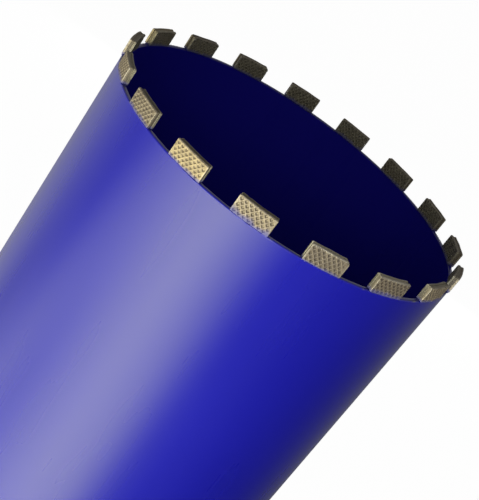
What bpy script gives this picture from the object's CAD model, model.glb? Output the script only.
import math

import bpy
import numpy as np
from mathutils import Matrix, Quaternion, Vector


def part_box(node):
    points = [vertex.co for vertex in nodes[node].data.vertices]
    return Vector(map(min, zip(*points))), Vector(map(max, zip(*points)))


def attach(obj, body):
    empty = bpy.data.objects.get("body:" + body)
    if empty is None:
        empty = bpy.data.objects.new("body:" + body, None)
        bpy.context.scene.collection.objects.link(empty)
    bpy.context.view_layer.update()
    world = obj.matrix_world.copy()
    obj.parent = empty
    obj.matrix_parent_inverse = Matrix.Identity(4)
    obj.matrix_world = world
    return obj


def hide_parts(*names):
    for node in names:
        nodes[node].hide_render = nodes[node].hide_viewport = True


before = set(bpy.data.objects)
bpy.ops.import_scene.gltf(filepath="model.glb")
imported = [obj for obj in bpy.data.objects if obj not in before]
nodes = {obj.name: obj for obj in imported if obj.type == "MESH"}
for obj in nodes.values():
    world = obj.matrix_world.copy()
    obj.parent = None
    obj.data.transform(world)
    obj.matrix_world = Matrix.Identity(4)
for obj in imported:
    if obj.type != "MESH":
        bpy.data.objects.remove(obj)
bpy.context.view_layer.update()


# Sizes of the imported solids, in metres

def nodePoints(name):
    mesh = nodes[name].data
    points = np.empty(len(mesh.vertices) * 3)
    mesh.vertices.foreach_get("co", points)
    return points.reshape(-1, 3)


def radiiOf(name):
    reach = np.hypot(*nodePoints(name)[:, :2].T)
    return reach.min(), reach.max()


def heightsOf(name):
    low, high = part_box(name)
    return low.z, high.z


def bearingOf(name):
    # angle of a node's middle about the axis, from +X
    middle = nodePoints(name)[:, :2].mean(axis=0)
    return math.atan2(middle[1], middle[0])


boreRadius, barrelRadius = radiiOf("barrel")
barrelFoot, rimHeight = heightsOf("barrel")
plateBack = heightsOf("back_plate")[0]
segmentNames = sorted(name for name in nodes if name.startswith("segment_"))
print("frame: barrel radius %.1f mm, %d segments" % (barrelRadius * 1000, len(segmentNames)))


# Shaders

class Wire:
    # one output socket; arithmetic on it adds Math nodes

    def __init__(self, finish, socket):
        self.finish = finish
        self.socket = socket

    def math(self, operation, *values):
        return self.finish.node("ShaderNodeMath", {"operation": operation}, dict(enumerate(values)))

    def __add__(self, other):
        return self.math("ADD", self, other)

    def __sub__(self, other):
        return self.math("SUBTRACT", self, other)

    def __rsub__(self, other):
        return self.math("SUBTRACT", other, self)

    def __mul__(self, other):
        return self.math("MULTIPLY", self, other)

    __radd__ = __add__
    __rmul__ = __mul__

    def atLeast(self, other):
        return self.math("MAXIMUM", self, other)

    def within(self, low, high):
        # 0 at low, 1 at high, smooth between
        values = {"Value": self, "From Min": low, "From Max": high}
        return self.finish.node("ShaderNodeMapRange", {"interpolation_type": "SMOOTHSTEP"}, values)


class Finish:
    # the node tree of a material or a world that is being made

    def __init__(self, owner):
        owner.use_nodes = True
        self.owner = owner
        self.tree = owner.node_tree
        self.tree.nodes.clear()

    def node(self, kind, settings=None, values=None, output=0):
        made = self.tree.nodes.new(kind)
        for name, value in (settings or {}).items():
            setattr(made, name, value)
        for name, value in (values or {}).items():
            if isinstance(value, Wire):
                self.tree.links.new(value.socket, made.inputs[name])
            else:
                made.inputs[name].default_value = value
        return Wire(self, made.outputs[output]) if made.outputs else None

    def mix(self, factor, first, second):
        values = {0: factor, 6: first, 7: second}
        return self.node("ShaderNodeMix", {"data_type": "RGBA"}, values, output=2)

    def place(self):
        return self.node("ShaderNodeTexCoord", output="Object")

    def stretched(self, factors):
        values = {0: self.place(), 1: factors}
        return self.node("ShaderNodeVectorMath", {"operation": "MULTIPLY"}, values)

    def noise(self, scale, detail=3.0, roughness=0.5, vector=None):
        values = {"Vector": vector or self.place(), "Scale": scale}
        values |= {"Detail": detail, "Roughness": roughness}
        return self.node("ShaderNodeTexNoise", None, values, output="Fac")

    def specks(self, scale, size):
        # 1 in small round spots, 0 between
        values = {"Vector": self.place(), "Scale": scale}
        reach = self.node("ShaderNodeTexVoronoi", None, values, output="Distance")
        return 1 - reach.within(size * 0.4, size)

    def mark(self, name):
        return self.node("ShaderNodeAttribute", {"attribute_name": name}, output="Fac")

    def bump(self, height, strength, distance):
        values = {"Height": height, "Strength": strength, "Distance": distance}
        return self.node("ShaderNodeBump", None, values)

    def end(self, shader, kind="ShaderNodeOutputMaterial"):
        self.node(kind, None, {"Surface": shader})
        return self.owner

    def surface(self, values):
        return self.end(self.node("ShaderNodeBsdfPrincipled", None, values))


def newFinish(name):
    return Finish(bpy.data.materials.new(name))


def rgba(colour, factor=1.0):
    return (*[value * factor for value in colour], 1.0)


# Meshes

def meshPiece(name, points, faces, materials, faceMaterials=None, marks=None, sharpAngle=40):
    mesh = bpy.data.meshes.new(name)
    faces = faces if isinstance(faces, list) else faces.tolist()
    mesh.from_pydata(np.asarray(points).tolist(), [], faces)
    for material in materials:
        mesh.materials.append(material)
    if faceMaterials is not None:
        mesh.polygons.foreach_set("material_index", np.asarray(faceMaterials, dtype=np.int32))
    for markName, values in (marks or {}).items():
        layer = mesh.attributes.new(markName, "FLOAT", "POINT")
        layer.data.foreach_set("value", np.asarray(values, dtype=np.float32))
    mesh.polygons.foreach_set("use_smooth", [True] * len(mesh.polygons))
    mesh.update()
    mesh.set_sharp_from_angle(angle=math.radians(sharpAngle))
    piece = bpy.data.objects.new(name, mesh)
    bpy.context.scene.collection.objects.link(piece)
    return piece


def placePiece(piece, slotName, *replaced):
    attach(piece, "root")
    if replaced:
        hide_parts(*replaced)


def gridFaces(rows, columns):
    # quads of a sheet of points
    index = np.arange(rows * columns).reshape(rows, columns)
    corners = [index[:-1, :-1], index[1:, :-1], index[1:, 1:], index[:-1, 1:]]
    return np.stack(corners, axis=-1).reshape(-1, 4)


def ringFaces(sides, count):
    # quads between neighbouring outlines of a turned form whose outlines are closed
    side, step = np.meshgrid(np.arange(sides), np.arange(count), indexing="ij")
    here, there = side * count, (side + 1) % sides * count
    after = (step + 1) % count
    return np.stack([here + step, there + step, there + after, here + after], axis=-1).reshape(-1, 4)


def turned(radii, heights, turns):
    # radii and heights have one row for each turn, or one row for all of them
    radii = np.broadcast_to(radii, (len(turns), np.shape(radii)[-1]))
    heights = np.broadcast_to(heights, radii.shape)
    turns = np.asarray(turns)[:, None]
    return np.stack([np.cos(turns) * radii, np.sin(turns) * radii, heights], axis=-1).reshape(-1, 3)


def ripples(points, wavelength, seed, waves=24):
    # smooth noise of about -1 to 1: a sum of waves in random directions
    draw = np.random.RandomState(seed)
    headings = draw.normal(size=(waves, 3))
    headings /= np.linalg.norm(headings, axis=1)[:, None]
    rates = 2 * math.pi / (wavelength * draw.uniform(0.7, 1.6, waves))
    starts = draw.uniform(0, 2 * math.pi, waves)
    total = np.zeros(len(points))
    for heading, rate, start in zip(headings, rates, starts):
        total += np.sin(points @ heading * rate + start)
    return total / math.sqrt(waves)


def pointNormals(points, faces):
    # normals of the points of a mesh of quads
    first, second, third, fourth = (points[faces[:, corner]] for corner in range(4))
    across = np.cross(third - first, fourth - second)
    normals = np.zeros_like(points)
    for corner in range(4):
        np.add.at(normals, faces[:, corner], across)
    return normals / np.maximum(np.linalg.norm(normals, axis=1), 1e-12)[:, None]


def smoothStep(values, low, high):
    share = np.clip((values - low) / (high - low), 0, 1)
    return share * share * (3 - 2 * share)


# Paint

paint = {
    "colour": (0.007, 0.007, 0.295),
    "insideColour": (0.016, 0.012, 0.40),
    "wornColour": (0.20, 0.19, 0.24),
    "dustColour": (0.30, 0.28, 0.30),
    "dustShare": 0.18,
    "uneven": (0.9, 1.1),            # darkest and lightest shade of the coat
    "roughness": 0.28,
    "specular": 0.5,
    "insideSpecular": 0.05,
    "sheenTint": (1.0, 1.0, 0.30),   # the enamel's gloss is a little yellow
    "mottleScale": 9.0,
    "streakScale": 60.0,
    "streakStretch": (1, 1, 0.06),   # brush streaks run along the barrel
    "peelScale": 700.0,
    "peelDepth": 0.0002,
    "peelStrength": 0.04,
    "speckScale": 160.0,
    "speckSize": 0.028,
    "patchScale": 260.0,             # patches of worn enamel on the rim
    "patchSpan": (0.56, 0.66),
    "wornMetal": 0.6,
}


def paintFinish(name, colour, specular, worn=True):
    finish = newFinish(name)
    darkest, lightest = paint["uneven"]
    mottle = finish.noise(paint["mottleScale"], 2.0)
    streak = finish.noise(paint["streakScale"], 3.0, vector=finish.stretched(paint["streakStretch"]))
    peel = finish.noise(paint["peelScale"], 2.0)
    dust = finish.specks(paint["speckScale"], paint["speckSize"])
    shade = finish.mix(mottle * 0.6 + streak * 0.4, rgba(colour, darkest), rgba(colour, lightest))
    shade = finish.mix(dust * paint["dustShare"], shade, rgba(paint["dustColour"]))
    rough = paint["roughness"] + 0.05 * (mottle - 0.5) + 0.08 * (streak - 0.5)
    metal = 0.0
    if worn:
        patch = finish.noise(paint["patchScale"], 4.0, 0.65)
        bare = finish.mark("rim") * patch.within(*paint["patchSpan"])
        shade = finish.mix(bare, shade, rgba(paint["wornColour"]))
        metal = bare * paint["wornMetal"]
        rough = rough + 0.15 * bare
    return finish.surface({
        "Base Color": shade,
        "Metallic": metal,
        "Roughness": rough,
        "Specular IOR Level": specular,
        "Specular Tint": rgba(paint["sheenTint"]),
        "Normal": finish.bump(peel, paint["peelStrength"], paint["peelDepth"]),
    })


# Barrel

barrel = {
    "sides": 480,
    "edge": 0.0007,       # broken edges of both ends
    "rows": 20,
    "rimRows": (0.0011, 0.0016, 0.003),   # further rows of points, this far from the rim
    "holdShare": 0.3,     # from an edge to the first row of points, as a share of the edge
    "wornReach": 0.0012,  # how far from the rim the enamel is rubbed through
    "wornEdge": (1.2, 0.8),   # from the outside to where it ends and is full, in edges
}


def makeBarrel():
    edge = barrel["edge"]
    shave = edge * (1 - math.sqrt(0.5))
    hold = edge * barrel["holdShare"]
    walls = np.linspace(barrelFoot + edge + hold, rimHeight - edge - hold, barrel["rows"])
    walls = np.sort(np.append(walls, rimHeight - np.array(barrel["rimRows"])))
    outline = [(boreRadius, barrelFoot + edge), (boreRadius + edge, barrelFoot)]
    outline += [(barrelRadius - edge, barrelFoot), (barrelRadius, barrelFoot + edge)]
    outline += [(barrelRadius, height) for height in walls]
    outline += [(barrelRadius, rimHeight - edge), (barrelRadius - shave, rimHeight - shave)]
    outline += [(barrelRadius - edge, rimHeight), (boreRadius + edge, rimHeight)]
    outline += [(boreRadius + shave, rimHeight - shave), (boreRadius, rimHeight - edge)]
    firstInside = len(outline) - 1
    outline += [(boreRadius, height) for height in walls[::-1]]
    outline = np.array(outline)
    turns = np.arange(barrel["sides"]) * 2 * math.pi / barrel["sides"]
    points = turned(outline[:, 0], outline[:, 1], turns)
    faces = ringFaces(barrel["sides"], len(outline))
    step = np.arange(len(faces)) % len(outline)
    isInside = (step >= firstInside).astype(int)
    radii = np.hypot(points[:, 0], points[:, 1])
    nearRim = 1 - smoothStep(rimHeight - points[:, 2], 0, barrel["wornReach"])
    nearRim *= smoothStep(radii, *(barrelRadius - edge * share for share in barrel["wornEdge"]))
    materials = [
        paintFinish("barrelPaint", paint["colour"], paint["specular"]),
        paintFinish("insidePaint", paint["insideColour"], paint["insideSpecular"]),
    ]
    marks = {"rim": nearRim}
    piece = meshPiece("paintedBarrel", points, faces, materials, isInside, marks, sharpAngle=60)
    placePiece(piece, "paint", "barrel")


makeBarrel()
print("barrel made")


# Crown segments

segment = {
    "edge": 0.00026,             # rounding of all edges
    "crownEdge": 0.0009,         # rounding of the two long upper edges, where they are worn
    "corner": 0.0006,            # rounding of the two upper corners
    "grooveWidth": 0.0016,
    "grooveDepth": 0.0004,
    "dimpleWidth": 0.0026,
    "dimpleHeight": 0.0031,
    "dimpleDepth": 0.0006,
    "dimpleFloor": 0.4,          # share of a dimple's width that its flat bottom has
    "dimpleGap": 0.0005,
    "rowGap": 0.00035,
    "border": 0.00015,
    "dimpleSpread": (0.75, 1.1),     # shallowest and deepest dimple, as a share of the depth
    "grain": 0.00004,            # depth of the sintered surface's grain
    "grainLengths": (0.0011, 0.0004),
    "chip": 0.0003,              # depth of the chips along the edges
    "chipLengths": (0.0035, 0.0012),
    "chipReach": 0.0011,         # how far from an edge they start
    "wearLength": 0.009,         # of the waves in the rounding of the upper edges
    "crownSpan": (0.0011, 0.0004),   # from the top to where the crown's colour starts and is full
    "sprayOutside": 0.0040,      # how high the enamel blown onto a foot reaches
    "sprayInside": 0.0024,
    "sprayLength": 0.006,        # of the waves in its edge
    "alongSteps": 12,            # rows of points for each dimple
    "upSteps": 8,                # and for each row of dimples
    "acrossSteps": 4,
    "grooveWall": 0.00008,       # half the width of the groove's slanting wall
    "grooveBank": 0.00035,       # from the groove to the next row of points
    "edgeShares": (1, 0.66, 0.33, 0.1, 0),   # rows of points over a rounded edge
}

# upper corners that are worn rounder: at the clockwise and the other end, seen from above
wornCorners = {
    "segment_02": (0.0006, 0.0022),
    "segment_11": (0.0020, 0.0008),
    "segment_12": (0.0011, 0.0012),
}

# looks of single segments: how golden the metal is, how high the enamel reaches,
# how much dirt fills the dimples, how dark the crown and the groove are, and how brightly the
# crown is rubbed bare; others are drawn from the chances below and have no bare crown
segmentLooks = {
    "segment_01": dict(gold=0.40, spray=1.0, dirt=0.15, dark=1.0),
    "segment_02": dict(gold=0.12, spray=0.4, dirt=0.9, dark=0.0, bare=0.42),
    "segment_03": dict(gold=0.15, spray=0.8, dirt=1.4, dark=0.0, bare=0.40),
    "segment_04": dict(gold=0.45, spray=0.6, dirt=0.6, dark=0.3),
    "segment_13": dict(gold=1.00, spray=0.2, dirt=0.5, dark=0.4),
    "segment_15": dict(gold=0.25, spray=0.6, dirt=0.4, dark=0.5),
    "segment_16": dict(gold=0.22, spray=0.6, dirt=0.3, dark=1.0),
    "segment_17": dict(gold=1.00, spray=0.5, dirt=0.15, dark=1.0),
}

lookChances = dict(gold=(0.2, 0.6), spray=(0.4, 1), dirt=(0.2, 0.5), dark=(0.7, 1))

bond = {
    "goldColour": (0.40, 0.31, 0.165),
    "dullColour": (0.18, 0.145, 0.108),
    "paleColour": (0.58, 0.52, 0.40),
    "crownColour": (0.15, 0.12, 0.085),
    "layerColour": (0.08, 0.062, 0.045),
    "dirtColour": (0.06, 0.042, 0.028),
    "gritColour": (0.03, 0.03, 0.035),
    "innerColour": (0.30, 0.285, 0.19),
    "sprayColour": (0.065, 0.07, 0.26),
    "roughness": 0.5,
    "metallic": 0.3,
    "cloudScale": 220.0,
    "grainScale": 2600.0,
    "gritScale": 1500.0,
    "gritSize": 0.26,
    "glintScale": 900.0,
    "glintSize": 0.16,
    "innerShare": 0.8,       # how strongly a colour covers the ones below it
    "cloudShare": 0.35,
    "grainShare": 0.30,
    "edgeShare": 0.4,
    "gritShare": 0.5,
    "glintShare": 0.4,
    "bumpStrength": 0.5,
    "bumpDepth": 0.00015,
}


def bondFinish():
    finish = newFinish("sinteredBond")
    cloud = finish.noise(bond["cloudScale"], 4.0, 0.6)
    grain = finish.noise(bond["grainScale"], 3.0, 0.6)
    grit = finish.specks(bond["gritScale"], bond["gritSize"])
    glint = finish.specks(bond["glintScale"], bond["glintSize"])
    edge = finish.mark("edge")
    dimple = finish.mark("dimple")
    layer = finish.mark("layer")
    crown = finish.mark("crown")
    uneven = 0.6 + 0.4 * grain
    shade = finish.mix(finish.mark("gold"), rgba(bond["dullColour"]), rgba(bond["goldColour"]))
    coats = (
        (finish.mark("inner") * bond["innerShare"], "innerColour"),
        (cloud.within(0.62, 0.36) * bond["cloudShare"], "dirtColour"),
        (grain.within(0.52, 0.70) * bond["grainShare"], "paleColour"),
        (edge * cloud.within(0.40, 0.55) * bond["edgeShare"], "paleColour"),
        (crown * uneven, "crownColour"),
        (layer * uneven, "layerColour"),
        (finish.mark("bare"), "paleColour"),
        (dimple * (0.35 + 0.5 * cloud), "dirtColour"),
        (grit * bond["gritShare"], "gritColour"),
        (glint * bond["glintShare"] * (1 - crown), "paleColour"),
    )
    for share, colour in coats:
        shade = finish.mix(share, shade, rgba(bond[colour]))
    spray = finish.mark("spray") * (0.7 + 0.6 * cloud).within(0.55, 1.05)
    shade = finish.mix(spray, shade, rgba(bond["sprayColour"]))
    # what is dull on the metal: the layer, the crown, dirt and enamel
    dull = (layer * 0.6).atLeast(crown * 0.6).atLeast(dimple * 0.7).atLeast(spray)
    rough = bond["roughness"] + 0.22 * dull + 0.2 * dimple + 0.18 * (grain - 0.5) - 0.06 * edge
    return finish.surface({
        "Base Color": shade,
        "Metallic": bond["metallic"] * (1 - dull),
        "Roughness": rough,
        "Normal": finish.bump(grain * 0.6 + cloud * 0.4, bond["bumpStrength"], bond["bumpDepth"]),
    })


def mirrored(half):
    # stations from -end to end out of the ones from 0 to end
    half = np.asarray(half)
    return np.concatenate([-half[:0:-1], half])


def edgeSteps(end, edge):
    return [end - edge * share for share in segment["edgeShares"]]


def blockLattice(counts):
    # the shell of a block of cells: places in whole numbers, and their quads
    places, faces, start = [], [], 0
    for axis in range(3):
        first, second = (axis + 1) % 3, (axis + 2) % 3
        rows, columns = np.arange(counts[first]), np.arange(counts[second])
        along, across = np.meshgrid(rows, columns, indexing="ij")
        for side in (0, counts[axis] - 1):
            grid = np.empty((*along.shape, 3), dtype=int)
            grid[..., axis], grid[..., first], grid[..., second] = side, along, across
            quads = start + gridFaces(*along.shape)
            faces.append(quads if side else quads[:, ::-1])
            places.append(grid.reshape(-1, 3))
            start += along.size
    places, index = np.unique(np.concatenate(places), axis=0, return_inverse=True)
    return places, index.reshape(-1)[np.concatenate(faces)]


def dimpleSteps():
    # from a dimple to the next in its row, and from a row to the next
    pitch = segment["dimpleWidth"] + segment["dimpleGap"]
    return pitch, segment["dimpleHeight"] / 2 + segment["rowGap"]


def dimplePlaces(length, height):
    pitch, rise = dimpleSteps()
    room = height - 2 * segment["border"] - segment["dimpleHeight"]
    rows = int(room / rise + 1e-6) + 1
    places = []
    for row in range(rows):
        shift = pitch / 2 if row % 2 else -pitch / 2
        room = length - 2 * segment["border"] - segment["dimpleWidth"] - abs(shift)
        count = int(room / pitch + 1e-6) + 1
        start = -(count - 1) * pitch / 2 + shift / 2
        level = (row - (rows - 1) / 2) * rise
        places += [(start + step * pitch, level) for step in range(count)]
    return places


def segmentSizes():
    # inner and outer radius, foot and top, and length along the middle
    points = nodePoints("segment_01")
    inner, outer = radiiOf("segment_01")
    low, high = heightsOf("segment_01")
    turns = np.arctan2(points[:, 1], points[:, 0]) - bearingOf("segment_01")
    return inner, outer, low, high, (turns.max() - turns.min()) * (inner + outer) / 2


def rounded(offset):
    # how points in a square corner move when it is rounded, from where the rounding starts
    return offset * (offset.max(axis=1) / np.linalg.norm(offset, axis=1))[:, None]


def blockStations(length, thickness, height):
    # rows of points along, across and up a block, closer together at its edges
    pitch, rise = dimpleSteps()
    edge = segment["edge"]
    groove, wall = segment["grooveWidth"] / 2, segment["grooveWall"]
    along = np.arange(0, length / 2 - edge * 1.3, pitch / segment["alongSteps"])
    up = np.arange(0, height / 2 - edge * 1.3, rise / segment["upSteps"])
    across = [
        np.linspace(0, groove - wall, segment["acrossSteps"]),
        [groove + wall],
        np.linspace(groove + segment["grooveBank"], thickness / 2 - edge * 1.4, segment["acrossSteps"]),
    ]
    halves = [
        np.append(along, edgeSteps(length / 2, edge)),
        np.append(np.concatenate(across), edgeSteps(thickness / 2, edge)),
        np.append(up, edgeSteps(height / 2, edge)),
    ]
    return [mirrored(half) for half in halves]


def roundBlock(block, half, corners, seed):
    # round every edge, then the long upper edges more, then the two upper corners
    edge = segment["edge"]
    core = np.clip(block, edge - half, half - edge)
    away = block - core
    reach = np.linalg.norm(away, axis=1)
    points = core + away * (edge / np.maximum(reach, 1e-9))[:, None]
    wear = 1 + 0.3 * ripples(block * (1, 0, 0), segment["wearLength"], seed)
    crownEdge = segment["crownEdge"] * np.clip(wear, 0.5, 1.5)[:, None]
    for side in (-1, 1):
        start = half[[1, 2]] - crownEdge
        offset = points[:, [1, 2]] * (side, 1) - start
        onEdge = (offset > 0).all(axis=1)
        points[np.ix_(onEdge, [1, 2])] = (start[onEdge] + rounded(offset[onEdge])) * (side, 1)
    for side, corner in zip((-1, 1), corners):
        start = half[[0, 2]] - corner
        offset = points[:, [0, 2]] * (side, 1) - start
        inCorner = (offset > 0).all(axis=1)
        points[np.ix_(inCorner, [0, 2])] = (start + rounded(offset[inCorner])) * (side, 1)
    return points


def pressDimples(block, half, corners, dirt, draw):
    # how deep and how dirty the two faces are at each point
    onFace = np.abs(block[:, 1]) > half[1] - 1e-9
    sunk = np.zeros(len(block))
    dust = np.zeros(len(block))
    for centre, level in dimplePlaces(2 * half[0], 2 * half[2]):
        reachX = np.abs(block[:, 0] - centre) / (segment["dimpleWidth"] / 2)
        reachZ = np.abs(block[:, 2] - level) / (segment["dimpleHeight"] / 2)
        # shallower towards a corner that is worn round
        corner = corners[centre > 0]
        toCorner = math.hypot(half[0] - abs(centre), half[2] - level)
        kept = smoothStep(toCorner, corner * 0.8, corner * 2.6)
        well = np.where(onFace, np.clip(1 - reachX - reachZ, 0, 1), 0)
        pressed = smoothStep(well, 0, 1 - segment["dimpleFloor"]) * kept
        sunk = np.maximum(sunk, pressed * draw.uniform(*segment["dimpleSpread"]))
        # dust lies at the foot of the two walls that face up, dirt all over the well
        wall = smoothStep(well, 0.05, 0.2) * (1 - smoothStep(well, 0.45, 0.7))
        lying = smoothStep(level - block[:, 2], -0.0002, 0.0003)
        dust = np.maximum(dust, kept * np.maximum(wall * lying, smoothStep(well, 0.02, 0.32) * dirt))
    return sunk, dust


def makeSegment(name, seed, material):
    inner, outer, low, high, length = segmentSizes()
    middle, thickness, height = (inner + outer) / 2, outer - inner, high - low
    draw = np.random.RandomState(seed)
    looks = {key: draw.uniform(*span) for key, span in lookChances.items()}
    looks.update(segmentLooks.get(name, {}))
    stations = blockStations(length, thickness, height)
    places, faces = blockLattice([len(line) for line in stations])
    block = np.stack([line[places[:, axis]] for axis, line in enumerate(stations)], axis=-1)
    half = np.array([length, thickness, height]) / 2
    corners = wornCorners.get(name, (segment["corner"], segment["corner"]))
    points = roundBlock(block, half, corners, seed + 500)
    sunk, dust = pressDimples(block, half, corners, looks["dirt"], draw)

    # the groove of the middle layer runs over the crown and down the ends
    onBase = block[:, 2] < segment["edge"] - half[2]
    groove, slope = segment["grooveWidth"] / 2, segment["grooveWall"] / 2
    inGroove = 1 - smoothStep(np.abs(block[:, 1]), groove - slope, groove + slope)
    inGroove = np.where(onBase, 0, inGroove)

    # grain all over, and chips near the edges between two faces
    gaps = np.sort(half - np.abs(block), axis=1)
    nearEdge = 1 - smoothStep(gaps[:, 1], segment["edge"] * 0.6, segment["chipReach"])
    coarse, fine = segment["grainLengths"]
    grain = ripples(points, coarse, seed + 100, 30) + 0.6 * ripples(points, fine, seed + 200, 30)
    coarse, fine = segment["chipLengths"]
    knocks = ripples(points, coarse, seed + 300) + 0.5 * ripples(points, fine, seed + 400)
    chips = nearEdge * smoothStep(knocks, 1.0, 1.9)
    depth = sunk * segment["dimpleDepth"] + inGroove * segment["grooveDepth"]
    depth += segment["grain"] * (0.5 + 0.35 * grain)
    depth += chips * segment["chip"]
    depth = np.where(onBase, 0, np.maximum(depth, 0))
    points = points - pointNormals(points, faces) * depth[:, None]

    # enamel blown onto the foot of the block, higher on its inner side
    inside = np.clip(0.5 + points[:, 1] / thickness, 0, 1)
    level = points[:, 2] + height / 2
    blown = 1 + 0.3 * ripples(points * (1, 0, 0), segment["sprayLength"], seed + 600)
    sprayOut = 1 - smoothStep(level, 0, segment["sprayOutside"] * looks["spray"] * blown)
    sprayIn = 1 - smoothStep(level, 0, segment["sprayInside"] * blown)
    onCrown = smoothStep(points[:, 2], *(half[2] - below for below in segment["crownSpan"]))
    marks = {
        "dimple": dust,
        "layer": inGroove * looks["dark"],
        "crown": onCrown * (1 - inGroove) * looks["dark"],
        "bare": onCrown * looks.get("bare", 0),
        "edge": nearEdge * (1 - chips),
        "inner": inside,
        "spray": 0.85 * (sprayOut + inside * (sprayIn - sprayOut)),
        "gold": np.full(len(points), looks["gold"]),
    }

    turns = bearingOf(name) + points[:, 0] / middle
    radii = middle - points[:, 1]
    heights = low + height / 2 + points[:, 2]
    placed = np.stack([np.cos(turns) * radii, np.sin(turns) * radii, heights], axis=-1)
    pieceName = "crown" + name.replace("segment_", "Segment")
    piece = meshPiece(pieceName, placed, faces, [material], marks=marks, sharpAngle=50)
    placePiece(piece, "bond", name)


bondMaterial = bondFinish()
for number, name in enumerate(segmentNames):
    makeSegment(name, 11 + number, bondMaterial)
print("segments made")


# Seams between the segments and the barrel

seam = {
    "radius": 0.00034,
    "drop": 0.0005,        # from the rim down to the seam
    "overrun": 0.0004,     # how far a seam runs past its segment
    "lumpLength": 0.0022,
    "lumpShare": 0.30,
    "roughShare": 0.12,
    "thickness": (0.4, 1.35),   # thinnest and thickest place, as a share of the radius
    "sag": 0.00012,
    "sagLength": 0.004,
    "turnSteps": 90,
    "sides": 8,
}


def beadPoints(radius, turns, height, seed):
    # a lumpy tube along an arc, drawn in at both ends
    draw = np.random.RandomState(seed)
    line = turned([[radius]], [[height]], turns)
    lumps = 1 + seam["lumpShare"] * ripples(line, seam["lumpLength"], seed)
    lumps += seam["roughShare"] * draw.normal(size=len(line))
    place = np.arange(len(line))
    taper = np.sqrt(np.clip(np.minimum(place, place[::-1]) / 3, 0.02, 1))
    thick = seam["radius"] * np.clip(lumps, *seam["thickness"]) * taper
    around = np.arange(seam["sides"]) * 2 * math.pi / seam["sides"]
    sag = seam["sag"] * ripples(line, seam["sagLength"], seed + 7)
    heights = height + sag[:, None] + np.outer(thick, np.sin(around))
    return turned(radius + np.outer(thick, np.cos(around)), heights, turns)


def beadFaces(steps, sides):
    # the tube's quads and a cap on each end
    step, side = np.meshgrid(np.arange(steps - 1), np.arange(sides), indexing="ij")
    after = (side + 1) % sides
    here, there = step * sides, (step + 1) * sides
    quads = np.stack([here + side, there + side, there + after, here + after], axis=-1)
    ring = list(range(sides))
    caps = [ring, [(steps - 1) * sides + corner for corner in ring[::-1]]]
    return quads.reshape(-1, 4).tolist() + caps


def makeSeams(material):
    # one bead along the outer foot of each segment and one along its inner foot
    inner, outer, *_, length = segmentSizes()
    half = length / (inner + outer) + seam["overrun"] / outer
    bead = beadFaces(seam["turnSteps"], seam["sides"])
    for number, name in enumerate(segmentNames):
        turns = bearingOf(name) + np.linspace(-half, half, seam["turnSteps"])
        points, faces = [], []
        for side, radius in enumerate((barrelRadius, boreRadius)):
            start = side * seam["turnSteps"] * seam["sides"]
            faces += [[start + corner for corner in face] for face in bead]
            seed = 500 + number * 2 + side
            points.append(beadPoints(radius, turns, rimHeight - seam["drop"], seed))
        pieceName = "seam" + name.replace("segment_", "")
        piece = meshPiece(pieceName, np.concatenate(points), faces, [material], sharpAngle=80)
        placePiece(piece, "paint")


makeSeams(paintFinish("seamPaint", paint["colour"], paint["specular"], worn=False))
print("seams made")


# Back end: hub with its thread, plate and welds

hub = {
    "sides": 192,
    "chamfer": 0.0015,
    "spigotRadius": 0.017,
    "flatsAcross": 0.041,
    "flatsStart": 0.007,
    "flatsLength": 0.020,
    "threadMajor": 0.03175,
    "threadPitch": 0.0254 / 7,
    "threadLength": 0.032,
    "mouthChamfer": 0.002,
    "threadRows": 112,
    "threadShares": (0.125, 0.75),   # width of a root, and of root and flanks, in pitches
    "floorAngle": 30,
    "spigotChamfer": 0.0004,
    "boreChamfer": 0.0008,
    "flatWall": 0.00003,     # half the width of a flat's end wall
    "steelColour": (0.50, 0.50, 0.49),
    "oilColour": (0.16, 0.13, 0.10),
    "oilShare": 0.8,
    "rustColour": (0.20, 0.09, 0.04),
    "rustShare": 0.55,
    "rustSpan": (0.62, 0.74),
    "turnedScale": 5200.0,   # of the rings that the lathe left
    "cloudScale": 45.0,
    "fineScale": 900.0,
    "bumpStrength": 0.25,
    "bumpDepth": 0.0001,
}


def steelFinish():
    finish = newFinish("turnedSteel")
    flat = finish.stretched((1, 1, 0))
    radius = finish.node("ShaderNodeVectorMath", {"operation": "LENGTH"}, {0: flat}, output="Value")
    level = finish.node("ShaderNodeSeparateXYZ", None, {0: finish.place()}, output="Z")
    values = {"W": radius + level, "Scale": hub["turnedScale"], "Detail": 3.0}
    rings = finish.node("ShaderNodeTexNoise", {"noise_dimensions": "1D"}, values, output="Fac")
    cloud = finish.noise(hub["cloudScale"], 4.0, 0.6)
    fine = finish.noise(hub["fineScale"], 3.0)
    rust = (cloud + 0.25 * (fine - 0.5)).within(*hub["rustSpan"])
    oil = finish.mark("oil") * (0.6 + 0.4 * cloud)
    shade = finish.mix(rings, rgba(hub["steelColour"], 0.8), rgba(hub["steelColour"], 1.15))
    shade = finish.mix(oil, shade, rgba(hub["oilColour"]))
    shade = finish.mix(rust * hub["rustShare"], shade, rgba(hub["rustColour"]))
    return finish.surface({
        "Base Color": shade,
        "Metallic": 1 - 0.7 * rust,
        "Roughness": 0.30 + 0.12 * rings + 0.25 * rust,
        "Normal": finish.bump(rings * 0.7 + fine * 0.3, hub["bumpStrength"], hub["bumpDepth"]),
    })


def threadRadii(heights, turns, minor):
    # an internal right-hand 60 degree thread, with crests a quarter of the pitch wide
    # and roots an eighth
    pitch, depth = hub["threadPitch"], hub["threadMajor"] / 2 - minor
    phase = (heights[None, :] / pitch - turns[:, None] / (2 * math.pi)) % 1
    away = np.abs(phase - 0.5) * 2
    root, flanks = hub["threadShares"]
    cut = np.clip((flanks - away) / (flanks - root), 0, 1)
    ending = smoothStep(hub["threadLength"] - heights, 0, pitch)
    cone = minor + hub["mouthChamfer"] - heights
    return np.maximum(minor + depth * cut * ending[None, :], cone[None, :])


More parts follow.
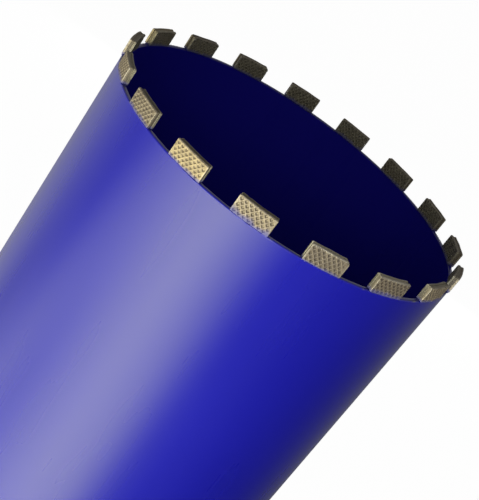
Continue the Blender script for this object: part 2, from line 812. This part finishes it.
def makeHub():
    low, high = heightsOf("hub")
    water, outer = radiiOf("hub")
    minor = hub["threadMajor"] / 2 - 0.54125 * hub["threadPitch"]
    spigot, chamfer = hub["spigotRadius"], hub["chamfer"]
    spigotChamfer, boreChamfer = hub["spigotChamfer"], hub["boreChamfer"]
    flatLow, flatHigh, wall = hub["flatsStart"], hub["flatsStart"] + hub["flatsLength"], hub["flatWall"]
    floor = hub["threadLength"] + (minor - water) * math.tan(math.radians(hub["floorAngle"]))
    outside = [chamfer, flatLow - wall, flatLow + wall, (flatLow + flatHigh) / 2]
    outside += [flatHigh - wall, flatHigh + wall, plateBack]
    outline = [(outer - chamfer, low)] + [(outer, height) for height in outside]
    outline += [(spigot, plateBack), (spigot, high - spigotChamfer), (spigot - spigotChamfer, high)]
    outline += [(water + boreChamfer, high), (water, high - boreChamfer), (water, floor)]
    outline += [(minor, hub["threadLength"])]
    outline = np.array(outline)
    threadRows = np.linspace(hub["threadLength"] - 0.0003, low, hub["threadRows"])
    turns = np.arange(hub["sides"]) * 2 * math.pi / hub["sides"]
    smooth = np.tile(outline[:, 0], (len(turns), 1))
    radii = np.concatenate([smooth, threadRadii(threadRows, turns, minor)], axis=1)
    heights = np.concatenate([outline[:, 1], threadRows])
    points = turned(radii, heights, turns)

    # the two spanner flats
    onFlat = (points[:, 2] > flatLow) & (points[:, 2] < flatHigh)
    onFlat &= np.hypot(*points[:, :2].T) > outer - 0.001
    reach = hub["flatsAcross"] / 2
    points[onFlat, 0] = np.clip(points[onFlat, 0], -reach, reach)

    oily = np.concatenate([np.zeros(len(outline)), np.full(len(threadRows), hub["oilShare"])])
    marks = {"oil": np.tile(oily, len(turns))}
    faces = ringFaces(hub["sides"], radii.shape[1])
    piece = meshPiece("threadedHub", points, faces, [steelFinish()], marks=marks, sharpAngle=25)
    placePiece(piece, "hub_steel", "hub")


weld = {
    "bulge": 0.12,           # how far a weld's face swells, as a share of its legs
    "rippleDepth": 0.09,
    "rippleBow": 0.8,        # how far a ripple's middle runs ahead of its ends, in ripples
    "unsteady": 0.03,        # how much the face rises and falls besides, as a share
    "steps": 12,
    "barrelRipple": 0.0032,  # length of a ripple
    "barrelSides": 1400,
    "hubRipple": 0.0030,
    "hubSides": 480,
}


def makeWeld(name, cornerRadius, across, ripplePitch, sides, seed):
    low, high = heightsOf(name)
    down = low - high
    share = np.linspace(0, 1, weld["steps"])
    swell = weld["bulge"] * 4 * share * (1 - share)
    reach = np.stack([across * (share + swell), down * (1 - share + swell)], axis=-1)
    turns = np.arange(sides) * 2 * math.pi / sides
    length = turns * cornerRadius
    phase = length[:, None] / ripplePitch + weld["rippleBow"] * (1 - (2 * share[None, :] - 1) ** 2)
    ring = turned([[cornerRadius]], [[high]], turns)
    unsteady = ripples(ring, ripplePitch * 4, seed)[:, None]
    # whole ripples only, so that the last meets the first
    count = length[-1] / ripplePitch
    phase = phase * round(count) / (count * sides / (sides - 1))
    dip = weld["rippleDepth"] * (1 - np.abs(np.sin(math.pi * phase)))
    dip += weld["unsteady"] * (1 + unsteady)
    dip[:, 0] = dip[:, -1] = 0
    radii = cornerRadius + reach[None, :, 0] * (1 - dip)
    heights = high + reach[None, :, 1] * (1 - dip)
    corner = np.full((sides, 1), cornerRadius)
    radii = np.concatenate([radii, corner], axis=1)
    heights = np.concatenate([heights, np.full((sides, 1), high)], axis=1)
    faces = ringFaces(sides, radii.shape[1])
    faces = faces if across > 0 else faces[:, ::-1]
    points = turned(radii, heights, turns)
    pieceName = name.replace("_weld", "Weld")
    piece = meshPiece(pieceName, points, faces, [plainPaint], sharpAngle=50)
    placePiece(piece, "paint", name)


plainPaint = paintFinish("backPaint", paint["colour"], paint["specular"], worn=False)
makeHub()
barrelLeg, hubLeg = np.ptp(radiiOf("barrel_weld")), np.ptp(radiiOf("hub_weld"))
hubEdge = radiiOf("hub_weld")[0]
makeWeld("barrel_weld", boreRadius, -barrelLeg, weld["barrelRipple"], weld["barrelSides"], 61)
makeWeld("hub_weld", hubEdge, hubLeg, weld["hubRipple"], weld["hubSides"], 62)
nodes["back_plate"].data.materials[0] = plainPaint
print("back end made")


# Studio: floor, soft boxes and camera

studio = {
    "floorColour": (0.86, 0.86, 0.86),
    "floorUneven": (0.98, 1.02),
    "floorReach": 6.0,
    "floorDrop": 0.0002,     # keeps it clear of the hub's mouth
    "worldStrength": 0.10,
    "whiteShare": 0.985,     # how white the floor and the world are to the camera
    "glossShare": 0.42,      # and to gloss
    "fanBearings": 33,       # columns of points in a soft box or a card
    "softBoxRows": 14,
    "cardRows": 4,
}

# a fan-shaped soft box low in front; bearings in degrees from the front, left is negative,
# and a row of glows for each of the distances
softBox = {
    "reach": (0.30, 1.75),
    "heights": (0.004, 0.09),
    "bearings": (-92, -80, -66, -49, -31, -13, 4, 22, 40),
    "distances": (0.57, 0.85, 1.3),
    "glows": (
        (0.22, 0.30, 0.50, 0.40, 0.76, 1.16, 0.98, 0.14, 0.00),
        (0.14, 0.02, 0.34, 0.56, 0.90, 1.26, 0.72, 0.05, 0.00),
        (0.12, 0.06, 0.14, 0.72, 1.20, 1.22, 0.14, 0.00, 0.00),
    ),
    "strength": 5.2,
    "colour": (1.0, 0.99, 0.74),
}

# cards that only gloss sees: a grey one on the right and a white one behind on the left
cards = {
    "greyCard": {
        "reach": (0.20, 2.2),
        "heights": (0.003, 0.004),
        "bearings": (34, 60, 95, 125, 170),
        "glows": (0.30, 0.03, 0.03, 0.13, 0.34),
    },
    "whiteCard": {
        "reach": (0.20, 2.2),
        "heights": (0.002, 0.003),
        "bearings": (-175, -140, -120, -103, -90),
        "glows": (0.22, 0.55, 0.78, 0.70, 0.50),
    },
}

# places and aims in metres, width and height of the lit face
lamps = {
    "frontLamp": {
        "place": (0, -1.3, 0.36),
        "aim": (0, 0, 0.36),
        "size": (0.6, 0.18),
        "power": 11.0,
        "colour": (0.85, 0.9, 1),
    },
    "backLamp": {
        "place": (0, 1.4, 0.18),
        "aim": (0, 0, 0.18),
        "size": (1.0, 0.3),
        "power": 5.5,
        "colour": (1, 1, 1),
    },
    "fillLamp": {
        "place": (0.2, -1.3, 1.0),
        "aim": (0, 0, 0.45),
        "size": (1.2, 0.6),
        "power": 2.1,
        "colour": (1, 1, 0.9),
    },
}


def fanGrid(values, steps):
    # a sheet round the axis, from the nearer reach to the farther one
    bearings = np.linspace(values["bearings"][0], values["bearings"][-1], studio["fanBearings"])
    radii = np.geomspace(*values["reach"], steps)
    heights = np.interp(radii, values["reach"], values["heights"])
    points = turned(radii, heights, np.radians(bearings) - math.pi / 2)
    return points, gridFaces(len(bearings), steps), bearings, radii


def glowPiece(name, points, faces, glow, colour, strength):
    finish = newFinish(name + "Cloth")
    shade = finish.mix(finish.mark("glow"), rgba((0, 0, 0)), rgba(colour))
    shader = finish.node("ShaderNodeEmission", None, {"Color": shade, "Strength": strength})
    piece = meshPiece(name, points, faces, [finish.end(shader)], marks={"glow": glow})
    piece.visible_camera = False
    return piece


def makeSoftBox():
    points, faces, bearings, radii = fanGrid(softBox, studio["softBoxRows"])
    rows = np.stack([np.interp(bearings, softBox["bearings"], row) for row in softBox["glows"]])
    glow = np.stack([np.interp(radii, softBox["distances"], column) for column in rows.T])
    top = glow.max()
    strength = softBox["strength"] * top
    glowPiece("softBox", points, faces, glow.reshape(-1) / top, softBox["colour"], strength)


def makeCard(name, values):
    rows = studio["cardRows"]
    points, faces, bearings, _ = fanGrid(values, rows)
    glow = np.interp(bearings, values["bearings"], values["glows"])
    card = glowPiece(name, points, faces, np.repeat(glow, rows), (1, 1, 1), 1.0)
    card.visible_diffuse = False
    card.visible_shadow = False


def makeLamp(name, place, aim, size, power, colour):
    lamp = bpy.data.lights.new(name, "AREA")
    lamp.shape = "RECTANGLE"
    lamp.size, lamp.size_y = size
    lamp.energy = power
    lamp.color = colour
    thing = bpy.data.objects.new(name, lamp)
    thing.location = place
    thing.rotation_euler = (Vector(aim) - Vector(place)).to_track_quat("-Z", "Y").to_euler()
    thing.visible_camera = False
    bpy.context.scene.collection.objects.link(thing)


def seenShare(finish):
    # how white the surroundings are: to the camera, to gloss, and otherwise 0
    camera = finish.node("ShaderNodeLightPath", output="Is Camera Ray")
    gloss = finish.node("ShaderNodeLightPath", output="Is Glossy Ray")
    clear = finish.node("ShaderNodeLightPath", output="Is Transmission Ray")
    return (camera.atLeast(clear) * studio["whiteShare"]).atLeast(gloss * studio["glossShare"])


def makeFloor():
    finish = newFinish("floorPaper")
    grain = finish.noise(40.0, 4.0)
    darkest, lightest = (rgba(studio["floorColour"], factor) for factor in studio["floorUneven"])
    colour = finish.mix(grain, darkest, lightest)
    paper = finish.node("ShaderNodeBsdfDiffuse", None, {"Color": colour})
    white = finish.node("ShaderNodeEmission", None, {"Color": rgba((1, 1, 1)), "Strength": 1.0})
    shader = finish.node("ShaderNodeMixShader", None, {0: seenShare(finish), 1: paper, 2: white})
    reach, level = studio["floorReach"], -studio["floorDrop"]
    sides = ((-1, -1), (1, -1), (1, 1), (-1, 1))
    corners = [(reach * x, reach * y, level) for x, y in sides]
    meshPiece("floor", corners, [(0, 1, 2, 3)], [finish.end(shader)])


def makeWorld():
    world = bpy.data.worlds.new("studioWorld")
    bpy.context.scene.world = world
    finish = Finish(world)
    strength = seenShare(finish).atLeast(studio["worldStrength"])
    air = finish.node("ShaderNodeBackground", None, {"Color": rgba((1, 1, 1)), "Strength": strength})
    finish.end(air, "ShaderNodeOutputWorld")


makeSoftBox()
for name, values in cards.items():
    makeCard(name, values)
makeFloor()
makeWorld()
for name, values in lamps.items():
    makeLamp(name, **values)

shot = {
    "place": (0.0, -0.646, 0.6925),
    "aim": (0.0054, 0.0, 0.4133),
    "roll": 36.36,
    "lens": 78.06,
}


def makeCamera():
    camera = bpy.data.cameras.new("shot")
    camera.lens = shot["lens"]
    camera.sensor_width = 36.0
    camera.clip_start = 0.01
    camera.clip_end = 50.0
    thing = bpy.data.objects.new("shot", camera)
    heading = Vector(shot["aim"]) - Vector(shot["place"])
    roll = Quaternion((0, 0, 1), math.radians(shot["roll"]))
    thing.rotation_mode = "QUATERNION"
    thing.rotation_quaternion = heading.to_track_quat("-Z", "Y") @ roll
    thing.location = shot["place"]
    bpy.context.scene.collection.objects.link(thing)
    bpy.context.scene.camera = thing


makeCamera()
bpy.context.scene.view_settings.view_transform = "Standard"
print("studio made")
